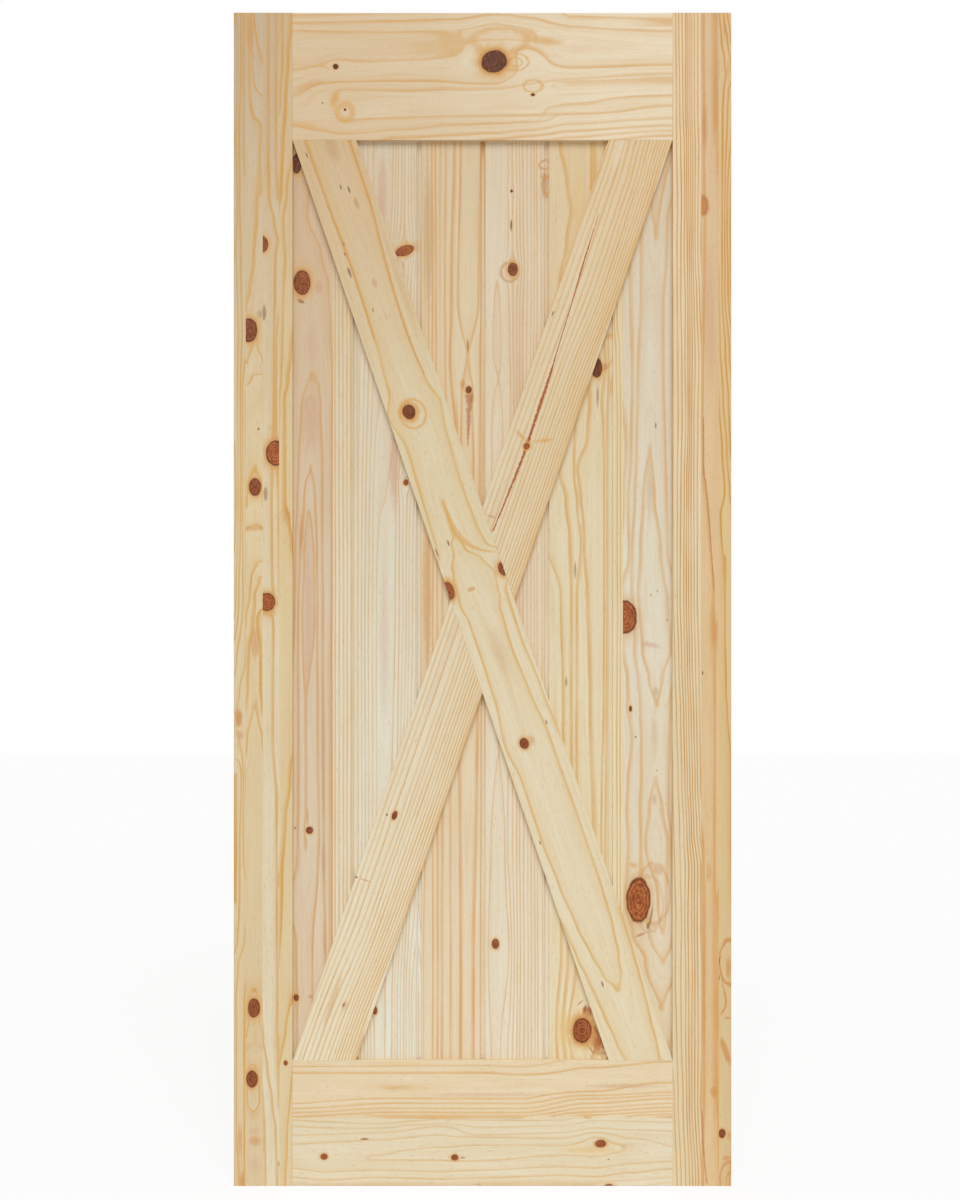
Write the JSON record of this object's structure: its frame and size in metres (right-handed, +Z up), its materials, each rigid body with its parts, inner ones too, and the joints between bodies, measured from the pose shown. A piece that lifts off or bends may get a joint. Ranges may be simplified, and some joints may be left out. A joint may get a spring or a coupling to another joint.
{
  "type": "sliding barn door slab",
  "caption": "Flat solid-pine door slab with stiles and rails, an upright plank panel and a flush X of diagonal braces, to hang from a sliding track.",
  "frame": {"origin": "middle of the bottom edge, half way through the thickness", "axes": "+X across the door to the right as seen from the front, +Y through the door towards its back, +Z up"},
  "size_m": [0.9144, 0.035, 2.156],
  "materials": {
    "stile_pine": "bare sanded knotty pine, straight and quarter grain, unfinished",
    "rail_pine": "bare sanded knotty pine, flat grain running across the door, unfinished",
    "plank_pine": "bare sanded knotty pine, upright grain, unfinished",
    "brace_pine": "bare sanded knotty pine, grain along the brace, unfinished",
    "dowel_wood": "plain turned hardwood, unfinished"
  },
  "bodies": {
    "root": {"bottom_rail_lower_board": "rail_pine", "bottom_rail_upper_board": "rail_pine", "dowel_bottom_left_1": "dowel_wood", "dowel_bottom_left_2": "dowel_wood", "dowel_bottom_left_3": "dowel_wood", "dowel_bottom_right_1": "dowel_wood", "dowel_bottom_right_2": "dowel_wood", "dowel_bottom_right_3": "dowel_wood", "dowel_top_left_1": "dowel_wood", "dowel_top_left_2": "dowel_wood", "dowel_top_left_3": "dowel_wood", "dowel_top_right_1": "dowel_wood", "dowel_top_right_2": "dowel_wood", "dowel_top_right_3": "dowel_wood", "falling_brace": "brace_pine", "left_stile_strip_1": "stile_pine", "left_stile_strip_2": "stile_pine", "left_stile_strip_3": "stile_pine", "left_stile_strip_4": "stile_pine", "plank_1_left_strip": "plank_pine", "plank_1_right_strip": "plank_pine", "plank_2": "plank_pine", "plank_3": "plank_pine", "plank_4": "plank_pine", "plank_5": "plank_pine", "plank_6_left_strip": "plank_pine", "plank_6_right_strip": "plank_pine", "right_stile_strip_1": "stile_pine", "right_stile_strip_2": "stile_pine", "right_stile_strip_3": "stile_pine", "rising_brace": "brace_pine", "top_rail": "rail_pine"}
  },
  "joints": []
}
